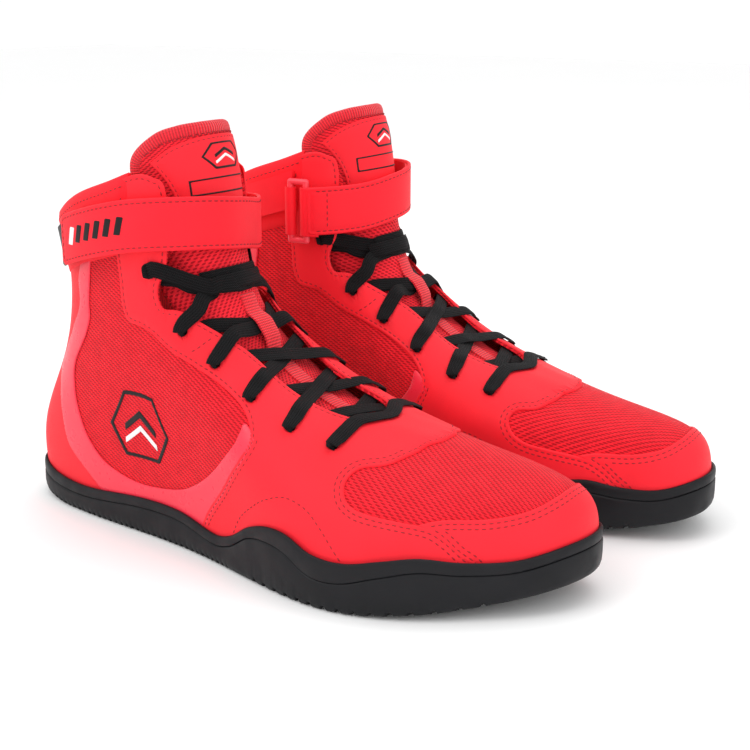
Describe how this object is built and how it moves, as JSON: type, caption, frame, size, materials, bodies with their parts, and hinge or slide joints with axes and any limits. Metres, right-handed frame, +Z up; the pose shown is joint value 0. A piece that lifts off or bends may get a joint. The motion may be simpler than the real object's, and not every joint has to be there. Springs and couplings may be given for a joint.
{
  "type": "boxing boots",
  "caption": "Pair of mid-height laced boxing boots with mesh sides, smooth overlays, a padded tongue, an ankle strap through a ring and a wrap-up rubber sole.",
  "frame": {"origin": "bottom centre of the pair's box, on the floor under both soles", "axes": "+X from heels to toes, +Y from the right boot to the left boot, +Z up"},
  "size_m": [0.315, 0.2402, 0.1972],
  "materials": {
    "sole_rubber": "matte black moulded rubber with a fine grain",
    "board": "pressed fibre board",
    "footbed_foam": "cloth-covered foam",
    "mesh": "red warp-knit mesh with rows of dark holes",
    "microfibre": "bright red microfibre, soft satin",
    "tpu": "red welded film, glossy",
    "lining": "red knitted lining over foam",
    "tongue_cloth": "red padded cloth",
    "binding": "red ribbed knit edge binding",
    "patch": "red microfibre patch with stitched edge",
    "strap": "red microfibre strap, stitched edges",
    "hook_tape": "black hook tape",
    "loop_tape": "black loop tape",
    "ring_plastic": "pinkish red moulded plastic",
    "lace": "flat black braided lace"
  },
  "bodies": {
    "right_boot": {"right_outsole": "sole_rubber", "right_insole_board": "board", "right_footbed": "footbed_foam", "right_vamp_mesh": "mesh", "right_quarter_lateral": "mesh", "right_quarter_medial": "mesh", "right_heel_panel": "microfibre", "right_eyestay_lateral": "microfibre", "right_eyestay_medial": "microfibre", "right_toe_cap": "microfibre", "right_heel_cover": "microfibre", "right_tpu_strip_lateral": "tpu", "right_tpu_strip_medial": "tpu", "right_collar": "lining", "right_ankle_lining": "lining", "right_toe_puff": "board", "right_heel_counter": "board", "right_tongue_lower": "tongue_cloth", "right_lace_keeper": "microfibre", "right_strap_base": "strap", "right_ring_tab": "strap", "right_loop_band": "loop_tape", "right_lace": "lace"},
    "right_ring": {"right_ring": "ring_plastic"},
    "right_strap_front": {"right_strap_front": "strap"},
    "right_strap_end": {"right_strap_end": "strap", "right_hook_patch": "hook_tape"},
    "right_tongue": {"right_tongue_top": "tongue_cloth", "right_tongue_binding": "binding", "right_tongue_patch": "patch"},
    "left_boot": {"left_outsole": "sole_rubber", "left_insole_board": "board", "left_footbed": "footbed_foam", "left_vamp_mesh": "mesh", "left_quarter_lateral": "mesh", "left_quarter_medial": "mesh", "left_heel_panel": "microfibre", "left_eyestay_lateral": "microfibre", "left_eyestay_medial": "microfibre", "left_toe_cap": "microfibre", "left_heel_cover": "microfibre", "left_tpu_strip_lateral": "tpu", "left_tpu_strip_medial": "tpu", "left_collar": "lining", "left_ankle_lining": "lining", "left_toe_puff": "board", "left_heel_counter": "board", "left_tongue_lower": "tongue_cloth", "left_lace_keeper": "microfibre", "left_strap_base": "strap", "left_ring_tab": "strap", "left_loop_band": "loop_tape", "left_lace": "lace"},
    "left_ring": {"left_ring": "ring_plastic"},
    "left_strap_front": {"left_strap_front": "strap"},
    "left_strap_end": {"left_strap_end": "strap", "left_hook_patch": "hook_tape"},
    "left_tongue": {"left_tongue_top": "tongue_cloth", "left_tongue_binding": "binding", "left_tongue_patch": "patch"}
  },
  "joints": [
    {"name": "right_ring_swivel", "type": "hinge", "parent": "right_boot", "child": "right_ring", "pos_m": [-0.07138, -0.02232, 0.143], "axis": [0, 0, 1], "range_deg": [0, 20]},
    {"name": "right_strap_fold", "type": "hinge", "parent": "right_ring", "child": "right_strap_front", "pos_m": [-0.06238, -0.02232, 0.143], "axis": [0, 0, 1], "range_deg": [0, 50]},
    {"name": "right_strap_peel", "type": "hinge", "parent": "right_strap_front", "child": "right_strap_end", "pos_m": [-0.04058, -0.09069, 0.1512], "axis": [0, 0, 1], "range_deg": [0, 100]},
    {"name": "right_tongue_flex", "type": "hinge", "parent": "right_boot", "child": "right_tongue", "pos_m": [-0.03618, -0.06172, 0.162], "axis": [0, 1, 0], "range_deg": [0, 25], "stiffness_Nm_per_rad": 0.05},
    {"name": "left_boot_slide", "type": "slide", "parent": "right_boot", "child": "left_boot", "axis": [0, 1, 0], "range_m": [0, 0.25]},
    {"name": "left_ring_swivel", "type": "hinge", "parent": "left_boot", "child": "left_ring", "pos_m": [-0.05634, 0.01077, 0.143], "axis": [0, 0, -1], "range_deg": [0, 20]},
    {"name": "left_strap_fold", "type": "hinge", "parent": "left_ring", "child": "left_strap_front", "pos_m": [-0.04738, 0.01162, 0.143], "axis": [0, 0, -1], "range_deg": [0, 50]},
    {"name": "left_strap_peel", "type": "hinge", "parent": "left_strap_front", "child": "left_strap_end", "pos_m": [-0.03211, 0.08173, 0.1512], "axis": [0, 0, -1], "range_deg": [0, 100]},
    {"name": "left_tongue_flex", "type": "hinge", "parent": "left_boot", "child": "left_tongue", "pos_m": [-0.02501, 0.05331, 0.162], "axis": [-0.0941, 0.9956, 0], "range_deg": [0, 25], "stiffness_Nm_per_rad": 0.05}
  ],
  "couplings": [
    {"joint": "right_strap_fold", "follows": "right_strap_peel", "ratio": 0.5},
    {"joint": "right_ring_swivel", "follows": "right_strap_peel", "ratio": 0.2},
    {"joint": "left_strap_fold", "follows": "left_strap_peel", "ratio": 0.5},
    {"joint": "left_ring_swivel", "follows": "left_strap_peel", "ratio": 0.2}
  ]
}
